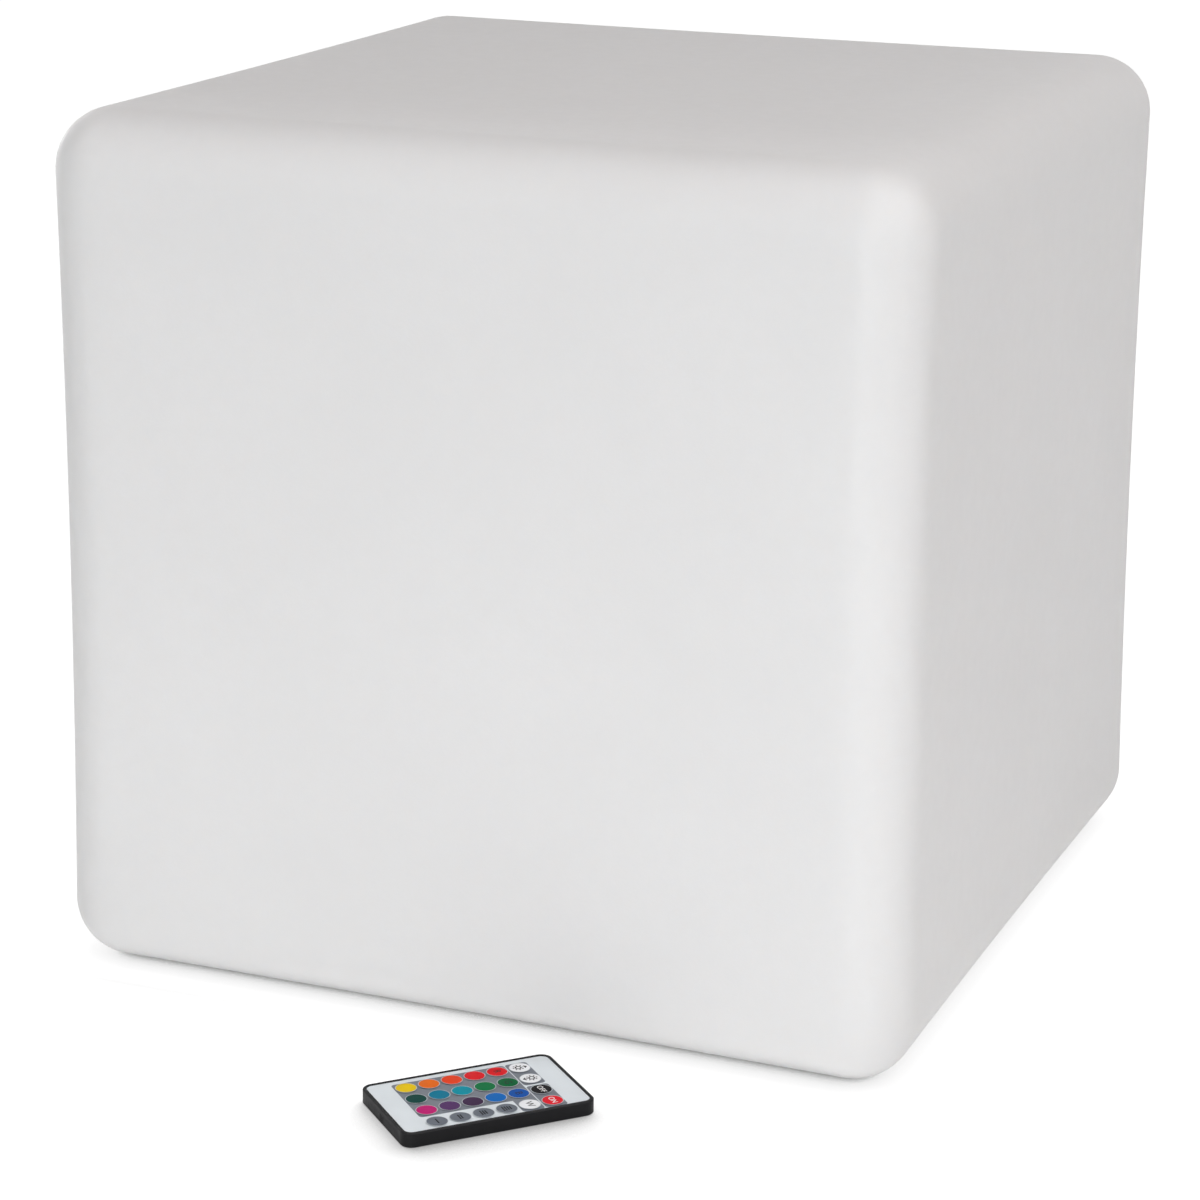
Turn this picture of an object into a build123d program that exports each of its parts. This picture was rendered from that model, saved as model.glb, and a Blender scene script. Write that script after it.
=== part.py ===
from build123d import *
import math
import os

# A glowing garden cube: a hollow moulded skin with a lamp module screwed up into a square
# well in its underside, and the thin remote control that lies on the floor beside it.
# Millimetres, +Z up, origin on the floor under the middle of the cube.
# The cube's wide face in the usual view looks along -Y, and the remote lies before it.

# ------------------------------------------------------------------ moulded skin
SIDE = 400.0  # across the side faces, near their corners
HEIGHT = 390.0
EDGE_RADIUS = 34.0
SKIN = 3.0  # thickness of the moulded wall
SIDE_SINK = 3.0  # a side face is drawn in this far at its middle
SPARE = 20.0  # stock left outside the faces before they are cut
CAVITY_CUT = 26.0  # bevel inside the rounded outer edges, where the wall is thicker

# ------------------------------------------------------------------ well in the underside
WELL_DEPTH = 34.0
WELL_SIDE = 190.0  # at the mouth
WELL_CUT = 34.0  # bevel of the well's corners
WELL_TAPER = 8.0  # degrees
WELL_LIP = 5.0  # bevel round the mouth
MODULE_PLAY = 2.0  # between the module's housing and the hole in the ceiling
BOSS = 14.0
BOSS_HEIGHT = 12.0

# ------------------------------------------------------------------ screws
SCREW_HEAD = 1.9  # a screw's head over its shank
HEAD_HEIGHT = 2.2
THREAD_PLAY = 0.05  # between a screw and the hole that it is drawn into
HOLE_PLAY = 0.3  # between a screw, body or lens and a hole that it passes through

# ------------------------------------------------------------------ lamp module
FLANGE_SIDE = 156.0
FLANGE_CUT = 28.0
FLANGE_THICKNESS = 3.5
FLANGE_BEVEL = 1.2
HOUSING_SIDE = 86.0
HOUSING_CUT = 10.0
HOUSING_HEIGHT = 44.0  # from the flange's underside to the rim
HOUSING_WALL = 2.5
PLATE = 3.0  # thickness of the housing's floor
GASKET = 1.5
GASKET_WIDTH = 5.0
FLANGE_SCREW_SPREAD = 58.0
FLANGE_SCREW_RADIUS = 2.0
FLANGE_SCREW_BITE = 7.0  # how far a screw goes into its insert
INSERT_RADIUS = 3.4
INSERT_LENGTH = 9.0

# ------------------------------------------------------------------ lamp cover
COVER_WALL = 2.0
COVER_SIDE = 78.0  # of the drum where it leaves the flange
COVER_CUT = 12.0
COVER_RISE = 36.0
COVER_TAPER = 9.0  # degrees
COVER_BEVEL = 5.0
COVER_FLANGE = 2.5
SPIGOT = 5.0  # depth of the cover's skirt inside the housing
SPIGOT_WALL = 1.6
SPIGOT_PLAY = 0.2
CATCH_WIDTH = 12.0
CATCH_HEIGHT = 1.6
CATCH = 1.4  # how far a catch reaches into the housing's wall
SEAL = 1.0

# ------------------------------------------------------------------ boards
BOARD = 1.6
LED_BOARD_SIDE = 76.0
LED_BOARD_CUT = 5.0  # bevel of the board's corners
LED_BOARD_HEIGHT = 37.0  # underside of the lamp board over the module's underside
CONTROL_BOARD_SIDE = 72.0
CONTROL_BOARD_CUT = 9.0
CONTROL_BOARD_HEIGHT = 26.0
POST = 8.0
POST_SPREAD = 33.0
POST_TIP = 5.0  # the posts go on up to the lamp board this thick
LED_SIZE = 5.0
LED_THICKNESS = 1.6
LED_PITCH = 14.0
LEDS_ACROSS = 5
RECEIVER_SIZE = 6.5
RECEIVER_HEIGHT = 7.5
RECEIVER_LENS = 2.0
CHIP_LONG = 10.0
CHIP_WIDE = 6.0
CHIP_TALL = 1.7
COIL_SIZE = 7.0
COIL_TALL = 5.0
CONNECTOR_LONG = 12.0
CONNECTOR_TALL = 6.5
PARTS_SPREAD = 18.0  # distance of each large component from the board's middle

# ------------------------------------------------------------------ battery
CELL_RADIUS = 9.2
CELL_LENGTH = 65.0
PACK_Y = 9.0
STRAP = 1.5
STRAP_WIDTH = 12.0
STRAP_FOOT = 6.0
STRAP_SPREAD = 17.0  # distance of each strap from the middle of the cells
STRAP_PLAY = 0.3
STRAP_SCREW_RADIUS = 1.25
STRAP_SCREW_BITE = 2.4

# ------------------------------------------------------------------ button, socket and pilot light
CONTROLS_Y = -27.0
BUTTON_X = -17.0
SOCKET_X = 17.0
PILOT_X = 1.0
BEZEL_RADIUS = 10.0
BEZEL = 2.0
SWITCH_SIDE = 15.0
SWITCH_LENGTH = 18.0  # above the bezel
BUTTON_RADIUS = 5.8
BUTTON_PROUD = 2.2
BUTTON_TRAVEL = 1.5
BUTTON_COLLAR = 11.4
BUTTON_COLLAR_HEIGHT = 2.0
RUNNING_PLAY = 0.3
STOP_GAP = 0.1  # left between a moving piece and the stop that it rests on
SOCKET_BEZEL_RADIUS = 7.5
SOCKET_BEZEL = 1.5
SOCKET_SIDE = 10.0
SOCKET_LENGTH = 13.0  # above the bezel
SOCKET_BORE_RADIUS = 2.8
SOCKET_BORE_DEPTH = 10.0
SOCKET_PIN = 1.4
STOPPER_RADIUS = 8.5
STOPPER_HEAD = 2.5
STOPPER_STEM = 6.5
STOPPER_PLAY = 0.15
STOPPER_TAB = 5.0
STOPPER_TAB_WIDTH = 6.0
PILOT_RADIUS = 2.5
PILOT_PROUD = 0.8

# ------------------------------------------------------------------ remote control
REMOTE_X = 40.4
REMOTE_Y = -265.2
REMOTE_TURN = 46.5  # its long side against +X
REMOTE_LENGTH = 85.0
REMOTE_WIDTH = 52.0
REMOTE_CORNER = 5.0
REMOTE_EDGE = 0.8
REMOTE_FLOOR = 0.9
REMOTE_RIM = 1.6  # width of the raised rim round the face
LEDGE = 1.0  # the face rests on a ledge this wide
FACE_DROP = 0.3  # the face lies this far below the rim
FACE = 0.5
FACE_PLAY = 0.1
KEY_PITCH_ALONG = 0.12 * REMOTE_LENGTH
KEY_PITCH_ACROSS = 11.6
KEY_SHIFT = -1.2  # the keys lie this far towards the front edge
KEY_RADIUS = 3.9
KEY_PLAY = 0.2
KEY_FLANGE = 8.8
KEY_FLANGE_THICKNESS = 0.3
KEY_PROUD = 0.4
KEY_TRAVEL = 0.3
KEY_SLACK = 0.05  # left under a key that is pressed right down
KEY_SIDES = 12  # flats that stand for a key's round edge
DOME_SPAN = 5.5
DOME_RISE = 0.15
REMOTE_BOARD = 0.6
REMOTE_BOARD_PLAY = 0.8
REMOTE_POST = 3.0
COIN_RADIUS = 10.0
COIN_HEIGHT = 2.5
COIN_PLAY = 0.15
DRAWER_WIDTH = 23.0
DRAWER_LENGTH = 20.0
DRAWER_FLOOR = 0.35
DRAWER_GRIP_WIDTH = 30.0
DRAWER_GRIP = 1.8
DRAWER_WALL = 1.2  # between the coin's pocket and the grip
DRAWER_GAP = 0.1
GROOVE = 0.5
GROOVES = 3
GROOVE_PITCH = 1.5
RAIL = 1.2
CONTACT = 0.25
CONTACT_WIDTH = 3.0
CONTACT_SPREAD = 2.2
EMITTER_RADIUS = 1.5
EMITTER_BODY = 3.4
EMITTER_PROUD = 0.6
EMITTER_LEG = 0.5
EMITTER_LEG_LENGTH = 4.0

# The keys in columns, from the drawer's end to the emitter's end, each from back to front.
KEY_COLUMNS = (
    ("yellow", "deep_teal", "magenta", "effect_one"),
    ("amber", "teal", "purple", "effect_two"),
    ("orange", "cyan", "plum", "effect_three"),
    ("scarlet", "emerald", "azure", "effect_four"),
    ("red", "green", "blue", "white"),
    ("brighter", "dimmer", "off", "on"),
)

# ------------------------------------------------------------------ heights that follow
FLANGE_TOP = WELL_DEPTH - GASKET
MODULE_BASE = FLANGE_TOP - FLANGE_THICKNESS  # underside of the module
PLATE_TOP = MODULE_BASE + PLATE
RIM_TOP = MODULE_BASE + HOUSING_HEIGHT
COVER_SEAT = RIM_TOP + SEAL
CONTROL_BOARD_Z = MODULE_BASE + CONTROL_BOARD_HEIGHT
LED_BOARD_Z = MODULE_BASE + LED_BOARD_HEIGHT
PACK_WIDTH = 4 * CELL_RADIUS
STRAP_HEIGHT = 2 * (CELL_RADIUS + STRAP_PLAY)  # room under a strap
SWITCH_FACE = MODULE_BASE - BEZEL
SOCKET_FACE = MODULE_BASE - SOCKET_BEZEL

DRAWER_Z = REMOTE_FLOOR + DRAWER_GAP
COIN_Z = DRAWER_Z + DRAWER_FLOOR
DRAWER_TOP = COIN_Z + COIN_HEIGHT + KEY_SLACK
REMOTE_BOARD_Z = DRAWER_TOP + DRAWER_GAP
DOME_Z = REMOTE_BOARD_Z + REMOTE_BOARD
KEY_Z = DOME_Z + DOME_RISE + KEY_TRAVEL + KEY_SLACK
FACE_Z = KEY_Z + KEY_FLANGE_THICKNESS + STOP_GAP
REMOTE_TOP = FACE_Z + FACE + FACE_DROP
GRIP_INSIDE = DRAWER_GRIP - REMOTE_LENGTH / 2  # the grip's inner side, along the remote
COIN_X = GRIP_INSIDE + DRAWER_WALL + COIN_PLAY + COIN_RADIUS
EMITTER_Z = DRAWER_Z + EMITTER_RADIUS

INSET_CUT = 2 - math.sqrt(2)  # a bevel shrinks by this share of an even inset

STAND = (Align.CENTER, Align.CENTER, Align.MIN)  # stands on its place
HANG = (Align.CENTER, Align.CENTER, Align.MAX)  # hangs from its place
RIGHT = (Align.MIN, Align.CENTER, Align.MIN)  # stands to the right of its place
TONGUE = (Align.MIN, Align.CENTER, Align.MAX)  # hangs to the right of its place


# ------------------------------------------------------------------ helpers
def corners_of(spread, height):
    """Return the places of four equal pieces in a square about the cube's middle."""
    return [Pos(0, 0, height) * spot for spot in GridLocations(2 * spread, 2 * spread, 2, 2)]


def disc(radius, height):
    """Return a round solid that stands on its place."""
    return Cylinder(radius, height, align=STAND)


def block(length, width, height):
    """Return a plain block that stands on its place."""
    return Box(length, width, height, align=STAND)


def bevelled(side, cut, height, inset=0.0, taper=0.0):
    """Return a square block with bevelled corners, drawn in evenly by inset."""
    outline = Rectangle(side - 2 * inset, side - 2 * inset)
    outline = chamfer(outline.vertices(), cut - inset * INSET_CUT)
    return extrude(outline, height, taper=taper)


def hexagon(radius, height):
    """Return a six-sided rod that stands on its place, measured over its corners."""
    return extrude(RegularPolygon(radius, 6), height)


def round_edges(solid, radius, height):
    """Return the circles of one radius at one height in a solid."""

    def matches(edge):
        if edge.geom_type != GeomType.CIRCLE:
            return False
        level = abs(edge.arc_center.Z - height) < THREAD_PLAY
        return level and abs(edge.radius - radius) < THREAD_PLAY

    return solid.edges().filter_by(matches)


def screw(shank, length):
    """Return a hexagon-headed screw: its shank rises from its place and its head hangs below."""
    head = Pos(0, 0, -HEAD_HEIGHT) * hexagon(shank * SCREW_HEAD, HEAD_HEIGHT)
    return hexagon(shank, length) + head


def group(places, piece):
    """Return equal pieces as one group of separate solids."""
    return Compound([place * piece for place in places])


# ------------------------------------------------------------------ moulded skin
def side_arc(sink, inset):
    """Return the circle whose near side draws a face in by sink, beside the Y axis."""
    reach = SIDE / 2 - EDGE_RADIUS
    radius = (reach**2 + sink**2) / (2 * sink)
    return Pos(radius - sink, 0) * Circle(radius + inset)


def cube_outline(inset):
    """Return the cube's outline from above: a square with four hollow sides."""
    stock = SIDE + SPARE
    outline = Rectangle(stock, stock)
    for turn in range(4):
        outline -= Rot(0, 0, 90 * turn) * Pos(SIDE / 2, 0) * side_arc(SIDE_SINK, inset)
    return outline


def make_form():
    """Return the cube's outer form as a solid block with every edge rounded."""
    outline = cube_outline(0)
    form = extrude(fillet(outline.vertices(), EDGE_RADIUS), HEIGHT)
    return fillet(form.faces().filter_by(Axis.Z).edges(), EDGE_RADIUS)


def make_cavity():
    """Return the space inside the skin, with every edge bevelled."""
    outline = cube_outline(SKIN)
    cavity = extrude(chamfer(outline.vertices(), CAVITY_CUT), HEIGHT - 2 * SKIN)
    cavity = chamfer(cavity.faces().filter_by(Axis.Z).edges(), CAVITY_CUT)
    return Pos(0, 0, SKIN) * cavity


def well_form(growth):
    """Return the tapered square well, grown by growth on every side but its mouth."""
    return bevelled(WELL_SIDE, WELL_CUT, WELL_DEPTH + growth, -growth, WELL_TAPER)


def make_shell():
    """Return the skin: a closed cube whose underside is drawn up into the well."""
    shell = make_form() - make_cavity() + well_form(SKIN)
    for place in corners_of(FLANGE_SCREW_SPREAD, WELL_DEPTH):
        shell += place * block(BOSS, BOSS, BOSS_HEIGHT)
    shell -= well_form(0)
    hole = bevelled(HOUSING_SIDE, HOUSING_CUT, 2 * SKIN, -MODULE_PLAY)
    shell -= Pos(0, 0, WELL_DEPTH - SKIN) * hole
    for place in corners_of(FLANGE_SCREW_SPREAD, WELL_DEPTH):
        shell -= place * hexagon(INSERT_RADIUS, INSERT_LENGTH)
    base = shell.faces().filter_by(Axis.Z).sort_by(Axis.Z)[0]
    return chamfer(base.inner_wires()[0].edges(), WELL_LIP)


def make_inserts():
    """Return the six-sided brass threads set in the ceiling's bosses."""
    bore = hexagon(FLANGE_SCREW_RADIUS + THREAD_PLAY, INSERT_LENGTH)
    insert = hexagon(INSERT_RADIUS - THREAD_PLAY, INSERT_LENGTH) - bore
    return group(corners_of(FLANGE_SCREW_SPREAD, WELL_DEPTH), insert)


# ------------------------------------------------------------------ lamp module
def catch_places(height):
    """Return the places of the cover's catches, in the middle of the housing's walls."""
    inside = HOUSING_SIDE / 2 - HOUSING_WALL
    return [Rot(0, 0, 90 * turn) * Pos(inside, 0, height) for turn in range(4)]


def strap_screw_places(height):
    """Return the places of the screws in the feet of both straps."""
    reach = PACK_WIDTH / 2 + STRAP_PLAY + STRAP + STRAP_FOOT / 2
    spots = GridLocations(2 * STRAP_SPREAD, 2 * reach, 2, 2)
    return [Pos(0, PACK_Y, height) * spot for spot in spots]


def make_module_base():
    """Return the flanged cup that closes the well and holds everything electric."""
    flange = bevelled(FLANGE_SIDE, FLANGE_CUT, FLANGE_THICKNESS)
    flange = chamfer(flange.faces().sort_by(Axis.Z)[0].edges(), FLANGE_BEVEL)
    cup = flange + bevelled(HOUSING_SIDE, HOUSING_CUT, HOUSING_HEIGHT)
    cup -= Pos(0, 0, PLATE) * bevelled(HOUSING_SIDE, HOUSING_CUT, HOUSING_HEIGHT, HOUSING_WALL)
    base = Pos(0, 0, MODULE_BASE) * cup
    for place in corners_of(POST_SPREAD, PLATE_TOP):
        base += place * block(POST, POST, CONTROL_BOARD_Z - PLATE_TOP)
    tip = POST_SPREAD + (POST - POST_TIP) / 2
    for place in corners_of(tip, PLATE_TOP):
        base += place * block(POST_TIP, POST_TIP, LED_BOARD_Z - PLATE_TOP)
    for place in corners_of(FLANGE_SCREW_SPREAD, MODULE_BASE):
        base -= place * hexagon(FLANGE_SCREW_RADIUS + HOLE_PLAY, FLANGE_THICKNESS)
    for place in strap_screw_places(PLATE_TOP - STRAP_SCREW_BITE):
        base -= place * hexagon(STRAP_SCREW_RADIUS + THREAD_PLAY, STRAP_SCREW_BITE)
    for place in catch_places(COVER_SEAT - SPIGOT):
        window = block(2 * HOUSING_WALL, CATCH_WIDTH + 2 * SPIGOT_PLAY, CATCH_HEIGHT + SPIGOT_PLAY)
        base -= place * window
    switch = SWITCH_SIDE + 2 * HOLE_PLAY
    base -= Pos(BUTTON_X, CONTROLS_Y, MODULE_BASE) * block(switch, switch, PLATE)
    socket = SOCKET_SIDE + 2 * HOLE_PLAY
    base -= Pos(SOCKET_X, CONTROLS_Y, MODULE_BASE) * block(socket, socket, PLATE)
    return base - Pos(PILOT_X, CONTROLS_Y, MODULE_BASE) * disc(PILOT_RADIUS + THREAD_PLAY, PLATE)


def make_gasket():
    """Return the flat ring squeezed between the module's flange and the ceiling."""
    ring = bevelled(HOUSING_SIDE, HOUSING_CUT, GASKET, -MODULE_PLAY - GASKET_WIDTH)
    ring -= bevelled(HOUSING_SIDE, HOUSING_CUT, GASKET, -MODULE_PLAY)
    return Pos(0, 0, FLANGE_TOP) * ring


def make_flange_screws():
    """Return the screws that hold the module up in the well."""
    length = FLANGE_THICKNESS + GASKET + FLANGE_SCREW_BITE
    places = corners_of(FLANGE_SCREW_SPREAD, MODULE_BASE)
    return group(places, screw(FLANGE_SCREW_RADIUS, length))


def drum(inset):
    """Return the cover's tapered drum with its top edges bevelled, drawn in by inset."""
    form = bevelled(COVER_SIDE, COVER_CUT, COVER_RISE - inset, inset, COVER_TAPER)
    return chamfer(form.faces().sort_by(Axis.Z)[-1].edges(), COVER_BEVEL)


def make_cover():
    """Return the frosted cover: a tapered drum, a flange, and a skirt with four catches."""
    fit = HOUSING_WALL + SPIGOT_PLAY
    cover = drum(0) + bevelled(HOUSING_SIDE, HOUSING_CUT, COVER_FLANGE)
    cover += Pos(0, 0, -SPIGOT) * bevelled(HOUSING_SIDE, HOUSING_CUT, SPIGOT, fit)
    cover -= drum(COVER_WALL)
    cover -= Pos(0, 0, -SPIGOT) * bevelled(HOUSING_SIDE, HOUSING_CUT, SPIGOT, fit + SPIGOT_WALL)
    length = SPIGOT_WALL + SPIGOT_PLAY + CATCH
    catch = Pos(CATCH - length / 2, 0, 0) * block(length, CATCH_WIDTH, CATCH_HEIGHT)
    for place in catch_places(-SPIGOT):
        cover += place * catch
    return Pos(0, 0, COVER_SEAT) * cover


def make_cover_seal():
    """Return the thin ring between the housing's rim and the cover."""
    ring = bevelled(HOUSING_SIDE, HOUSING_CUT, SEAL)
    ring -= bevelled(HOUSING_SIDE, HOUSING_CUT, SEAL, HOUSING_WALL)
    return Pos(0, 0, RIM_TOP) * ring


# ------------------------------------------------------------------ boards
def make_led_board():
    """Return the upper board, which lies on the tips of the posts."""
    return Pos(0, 0, LED_BOARD_Z) * bevelled(LED_BOARD_SIDE, LED_BOARD_CUT, BOARD)


def make_control_board():
    """Return the lower board, which lies on the posts' shoulders between their tips."""
    return Pos(0, 0, CONTROL_BOARD_Z) * bevelled(CONTROL_BOARD_SIDE, CONTROL_BOARD_CUT, BOARD)


def make_leds():
    """Return the lamps on the upper board, in rows that leave its middle free."""
    spots = GridLocations(LED_PITCH, LED_PITCH, LEDS_ACROSS, LEDS_ACROSS)
    places = [Pos(0, 0, LED_BOARD_Z + BOARD) * spot for spot in spots]
    chip = block(LED_SIZE, LED_SIZE, LED_THICKNESS)
    free = [place for place in places if abs(place.position.X) + abs(place.position.Y) > LED_SIZE]
    return group(free, chip)


def make_receiver():
    """Return the remote's receiver in the middle of the upper board."""
    body = block(RECEIVER_SIZE, RECEIVER_SIZE, RECEIVER_HEIGHT)
    lens = block(RECEIVER_LENS, RECEIVER_SIZE + RECEIVER_LENS, RECEIVER_HEIGHT - RECEIVER_LENS)
    return Pos(0, 0, LED_BOARD_Z + BOARD) * (body + lens)


def make_components():
    """Return the controller chip, the charger's coil and the battery's connector."""
    top = CONTROL_BOARD_Z + BOARD
    chip = Pos(-PARTS_SPREAD, 0, top) * block(CHIP_WIDE, CHIP_LONG, CHIP_TALL)
    coil = Pos(0, -PARTS_SPREAD, top) * block(COIL_SIZE, COIL_SIZE, COIL_TALL)
    connector = Pos(PARTS_SPREAD, 0, top) * block(CHIP_WIDE, CONNECTOR_LONG, CONNECTOR_TALL)
    return Compound([chip, coil, connector])


# ------------------------------------------------------------------ battery
def make_battery():
    """Return the two rechargeable cells in one wrap."""
    outline = SlotOverall(PACK_WIDTH, 2 * CELL_RADIUS)
    pack = Plane.YZ * extrude(outline, CELL_LENGTH / 2, both=True)
    return Pos(0, PACK_Y, PLATE_TOP + CELL_RADIUS) * pack


def make_straps():
    """Return the two straps that hold the cells down, with a foot at each end."""
    inside = PACK_WIDTH + 2 * STRAP_PLAY
    outside = inside + 2 * STRAP
    strap = block(STRAP_WIDTH, outside + 2 * STRAP_FOOT, STRAP)
    strap += block(STRAP_WIDTH, outside, STRAP_HEIGHT + STRAP)
    strap -= block(STRAP_WIDTH, inside, STRAP_HEIGHT)
    straps = [Pos(side * STRAP_SPREAD, PACK_Y, PLATE_TOP) * strap for side in (-1, 1)]
    for place in strap_screw_places(PLATE_TOP):
        hole = place * hexagon(STRAP_SCREW_RADIUS + HOLE_PLAY, STRAP)
        straps = [strap - hole for strap in straps]
    return Compound(straps)


def make_strap_screws():
    """Return the screws in the straps' feet."""
    piece = Rot(180, 0, 0) * screw(STRAP_SCREW_RADIUS, STRAP + STRAP_SCREW_BITE)
    return group(strap_screw_places(PLATE_TOP + STRAP), piece)


# ------------------------------------------------------------------ button, socket and pilot light
def make_switch():
    """Return the switch: a round bezel under the floor and a body with the button's room."""
    room = BUTTON_COLLAR_HEIGHT + BUTTON_TRAVEL + STOP_GAP + RUNNING_PLAY
    wide = BUTTON_COLLAR + 2 * RUNNING_PLAY
    body = disc(BEZEL_RADIUS, BEZEL) + block(SWITCH_SIDE, SWITCH_SIDE, BEZEL + SWITCH_LENGTH)
    body -= disc(BUTTON_RADIUS + RUNNING_PLAY, BEZEL)
    body -= Pos(0, 0, BEZEL) * block(wide, wide, room)
    return Pos(BUTTON_X, CONTROLS_Y, SWITCH_FACE) * body


def make_button():
    """Return the push button: a round cap under the bezel and a square collar above it."""
    collar = BEZEL + STOP_GAP
    stem = Pos(0, 0, -BUTTON_PROUD) * disc(BUTTON_RADIUS, BUTTON_PROUD + collar)
    stem += Pos(0, 0, collar) * block(BUTTON_COLLAR, BUTTON_COLLAR, BUTTON_COLLAR_HEIGHT)
    return Pos(BUTTON_X, CONTROLS_Y, SWITCH_FACE) * stem


def make_socket():
    """Return the charging socket: a body with a bore and a pin in the middle of it."""
    body = disc(SOCKET_BEZEL_RADIUS, SOCKET_BEZEL)
    body += block(SOCKET_SIDE, SOCKET_SIDE, SOCKET_BEZEL + SOCKET_LENGTH)
    body -= disc(SOCKET_BORE_RADIUS, SOCKET_BORE_DEPTH)
    pin = block(SOCKET_PIN, SOCKET_PIN, SOCKET_BORE_DEPTH - SOCKET_BEZEL)
    body += Pos(0, 0, SOCKET_BEZEL) * pin
    return Pos(SOCKET_X, CONTROLS_Y, SOCKET_FACE) * body


def make_stopper():
    """Return the soft stopper in the charging socket, with a tab to pull it by."""
    head = Cylinder(STOPPER_RADIUS, STOPPER_HEAD, align=HANG)
    reach = STOPPER_RADIUS + STOPPER_TAB
    tab = Box(reach, STOPPER_TAB_WIDTH, STOPPER_HEAD / 2, align=TONGUE)
    stem = disc(SOCKET_BORE_RADIUS - STOPPER_PLAY, STOPPER_STEM)
    slit = SOCKET_PIN + 2 * STOPPER_PLAY
    stem -= block(slit, slit, STOPPER_STEM)
    return Pos(SOCKET_X, CONTROLS_Y, SOCKET_FACE - STOPPER_PLAY) * (head + tab + stem)


def make_pilot():
    """Return the charging light's lens in the floor."""
    lens = disc(PILOT_RADIUS, PILOT_PROUD + PLATE)
    return Pos(PILOT_X, CONTROLS_Y, MODULE_BASE - PILOT_PROUD) * lens


# ------------------------------------------------------------------ remote control
def slab(inset, low, high):
    """Return the remote's outline drawn in by inset, as a plate between two heights."""
    length = REMOTE_LENGTH - 2 * inset
    width = REMOTE_WIDTH - 2 * inset
    outline = RectangleRounded(length, width, REMOTE_CORNER - inset)
    return Pos(0, 0, low) * extrude(outline, high - low)


def key_spots(height):
    """Return the name and the place of each key."""
    spots = []
    for column, names in enumerate(KEY_COLUMNS):
        x = (column - (len(KEY_COLUMNS) - 1) / 2) * KEY_PITCH_ALONG
        for row, name in enumerate(names):
            y = ((len(names) - 1) / 2 - row) * KEY_PITCH_ACROSS + KEY_SHIFT
            spots.append((name, Pos(x, y, height)))
    return spots


def make_case():
    """Return the remote's tray with its rim, the drawer's rails and the board's posts."""
    case = slab(0, 0, REMOTE_TOP)
    case = chamfer(case.faces().filter_by(Axis.Z).edges(), REMOTE_EDGE / 2)
    case -= slab(REMOTE_RIM, FACE_Z, REMOTE_TOP)
    case -= slab(REMOTE_RIM + LEDGE, REMOTE_FLOOR, FACE_Z)
    tall = REMOTE_BOARD_Z - REMOTE_FLOOR
    start = Pos(REMOTE_RIM + LEDGE - REMOTE_LENGTH / 2, 0, REMOTE_FLOOR)
    for side in (-1, 1):
        offset = side * (DRAWER_WIDTH / 2 + DRAWER_GAP + RAIL / 2)
        case += start * Pos(0, offset, 0) * Box(DRAWER_LENGTH, RAIL, tall, align=RIGHT)
    reach = REMOTE_LENGTH / 2 - REMOTE_RIM - LEDGE - REMOTE_POST / 2
    spread = REMOTE_WIDTH / 2 - REMOTE_RIM - LEDGE - REMOTE_POST / 2
    for y in (-spread, spread):
        for x in (-reach, 0, reach):
            case += Pos(x, y, REMOTE_FLOOR) * Box(REMOTE_POST, REMOTE_POST, tall, align=STAND)
    wide = DRAWER_GRIP_WIDTH + 2 * DRAWER_GAP
    high = REMOTE_BOARD_Z - REMOTE_FLOOR
    deep = DRAWER_GRIP + DRAWER_GAP
    end = Pos(-REMOTE_LENGTH / 2, 0, REMOTE_FLOOR)
    case -= end * Box(deep, wide, high, align=RIGHT)
    slot = DRAWER_WIDTH + 2 * DRAWER_GAP
    case -= end * Box(REMOTE_RIM + LEDGE, slot, high, align=RIGHT)
    eye = Rot(0, 90, 0) * Cylinder(EMITTER_RADIUS + STOP_GAP, 2 * (REMOTE_RIM + LEDGE))
    return case - Pos(REMOTE_LENGTH / 2, 0, EMITTER_Z) * eye


def round_key(radius, height):
    """Return a key's round outline, drawn with flats, as a solid that stands on its place."""
    return extrude(RegularPolygon(radius, KEY_SIDES), height)


def make_face():
    """Return the pale face plate, with a round hole for each key."""
    face = slab(REMOTE_RIM + FACE_PLAY, FACE_Z, FACE_Z + FACE)
    hole = round_key(KEY_RADIUS + KEY_PLAY, FACE)
    for _, place in key_spots(FACE_Z):
        face -= place * hole
    return face


def make_key():
    """Return one key: a square flange under the face and a round cap through it."""
    flange = Box(KEY_FLANGE, KEY_FLANGE, KEY_FLANGE_THICKNESS, align=STAND)
    return flange + round_key(KEY_RADIUS, KEY_FLANGE_THICKNESS + STOP_GAP + FACE + KEY_PROUD)


def make_domes():
    """Return the sprung metal plates under the keys."""
    places = [place for _, place in key_spots(DOME_Z)]
    return group(places, block(DOME_SPAN, DOME_SPAN, DOME_RISE))


def make_remote_board():
    """Return the remote's circuit board, which lies on the rails and posts."""
    inset = REMOTE_RIM + LEDGE + REMOTE_BOARD_PLAY
    length = REMOTE_LENGTH - 2 * inset
    width = REMOTE_WIDTH - 2 * inset
    outline = chamfer(Rectangle(length, width).vertices(), REMOTE_CORNER / 2)
    board = Pos(0, 0, REMOTE_BOARD_Z) * extrude(outline, REMOTE_BOARD)
    room = Box(2 * EMITTER_BODY, 4 * EMITTER_RADIUS, 2 * REMOTE_BOARD)
    return board - Pos(REMOTE_LENGTH / 2, 0, REMOTE_BOARD_Z) * room


def make_remote_chip():
    """Return the remote's chip, soldered under the board beside the drawer."""
    chip = Box(CHIP_LONG, CHIP_WIDE, CHIP_TALL, align=HANG)
    return Pos(REMOTE_LENGTH / 8, 0, REMOTE_BOARD_Z) * chip


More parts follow.
